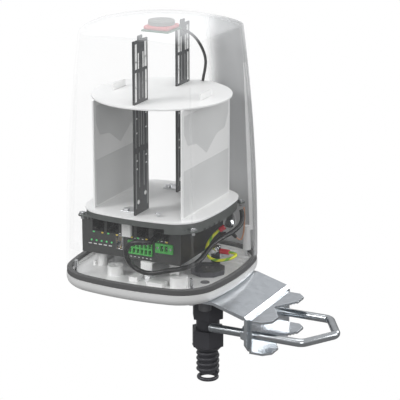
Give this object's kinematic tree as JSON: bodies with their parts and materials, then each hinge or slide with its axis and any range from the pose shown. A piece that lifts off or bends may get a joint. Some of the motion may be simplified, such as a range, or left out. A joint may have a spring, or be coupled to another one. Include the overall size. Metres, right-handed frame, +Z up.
{
  "type": "outdoor router enclosure",
  "caption": "Mast-mounted outdoor router enclosure: see-through tapered radome over an antenna stack and router, with a gland and a V-bolt mast clamp.",
  "frame": {"origin": "centre of the clamped mast at the height of the V-bolt", "axes": "+Z up along the mast, +X from the enclosure towards the V-bolt nose, +Y to the rear of the router"},
  "size_m": [0.2725, 0.168, 0.3622],
  "materials": {
    "white_casting": "satin white",
    "radome_plastic": "translucent white",
    "gasket_rubber": "matt",
    "zinc_steel": "galvanised",
    "stainless": "bright",
    "black_nylon": "satin",
    "grey_plastic": "satin",
    "router_front_grey": "satin",
    "router_black": "satin",
    "pcb_green": "solder mask",
    "pcb_dark": "solder mask",
    "white_board": "satin",
    "white_plastic": "satin",
    "green_plastic": "satin",
    "led_green": "gloss",
    "ceramic_red": "gloss",
    "red_sleeve": "gloss",
    "cable_black": "satin",
    "earth_yellow": "satin",
    "brown_coax": "satin",
    "grey_coax": "satin"
  },
  "bodies": {
    "enclosure": {"antenna_panel_left": "white_board", "antenna_panel_right": "white_board", "base_tray": "white_casting", "board_feet": "stainless", "bracket_fasteners": "stainless", "chassis_frame": "zinc_steel", "chassis_screws": "stainless", "crimp_rings": "stainless", "crimp_sleeves": "red_sleeve", "earth_stud": "stainless", "earth_wire": "earth_yellow", "ethernet_lead": "cable_black", "ethernet_plug": "cable_black", "foot_screws": "stainless", "front_dipole_board": "pcb_dark", "gland_body": "black_nylon", "gland_insert": "gasket_rubber", "gland_locknut": "black_nylon", "gland_seal": "gasket_rubber", "gland_washer": "gasket_rubber", "gnss_coax": "cable_black", "grey_pigtail": "grey_coax", "io_terminal_block": "green_plastic", "link_leds": "led_green", "mast_bracket": "zinc_steel", "mast_saddle": "zinc_steel", "pigtail_connectors": "cable_black", "power_socket": "green_plastic", "radome_screws": "stainless", "rear_dipole_board": "pcb_dark", "reflector_plate": "white_board", "rf_pigtail": "brown_coax", "rj45_jack_1": "black_nylon", "rj45_jack_2": "black_nylon", "rj45_jack_3": "black_nylon", "rj45_jack_4": "black_nylon", "rj45_jack_5": "black_nylon", "router_board": "pcb_green", "router_case": "router_black", "router_clips": "white_plastic", "router_feet": "gasket_rubber", "router_front_panel": "router_front_grey", "router_rear_panel": "router_front_grey", "sma_connectors": "stainless", "status_leds": "led_green", "tray_gasket": "gasket_rubber", "upper_disc": "white_board", "usb_socket": "stainless", "v_bolt_washers": "zinc_steel", "vent_plug": "grey_plastic"},
    "radome": {"radome": "radome_plastic", "gnss_board": "pcb_green", "gnss_ceramic": "ceramic_red", "gnss_cover": "grey_plastic"},
    "v_bolt": {"v_bolt": "zinc_steel"},
    "nut_front": {"v_bolt_nut_front": "zinc_steel"},
    "nut_rear": {"v_bolt_nut_rear": "zinc_steel"},
    "gland_nut": {"gland_dome_nut": "black_nylon", "gland_spiral": "black_nylon"}
  },
  "joints": [
    {"name": "radome_lift", "type": "slide", "parent": "enclosure", "child": "radome", "axis": [0, 0, 1], "range_m": [0, 0.27]},
    {"name": "nut_front_turn", "type": "hinge", "parent": "enclosure", "child": "nut_front", "pos_m": [-0.0445, -0.0355, 0], "axis": [1, 0, 0], "range_deg": [-2881, 7201]},
    {"name": "nut_rear_turn", "type": "hinge", "parent": "enclosure", "child": "nut_rear", "pos_m": [-0.0445, 0.0355, 0], "axis": [1, 0, 0], "range_deg": [-2881, 7201]},
    {"name": "v_bolt_slide", "type": "slide", "parent": "enclosure", "child": "v_bolt", "axis": [1, 0, 0], "range_m": [-0.025, 0.01]},
    {"name": "gland_nut_turn", "type": "hinge", "parent": "enclosure", "child": "gland_nut", "pos_m": [-0.102, 0, -0.024], "axis": [0, 0, 1], "range_deg": [-720, 0]}
  ],
  "couplings": [
    {"joint": "nut_front_turn", "follows": "v_bolt_slide", "rad_per_m": -5026.5},
    {"joint": "nut_rear_turn", "follows": "v_bolt_slide", "rad_per_m": -5026.5}
  ]
}
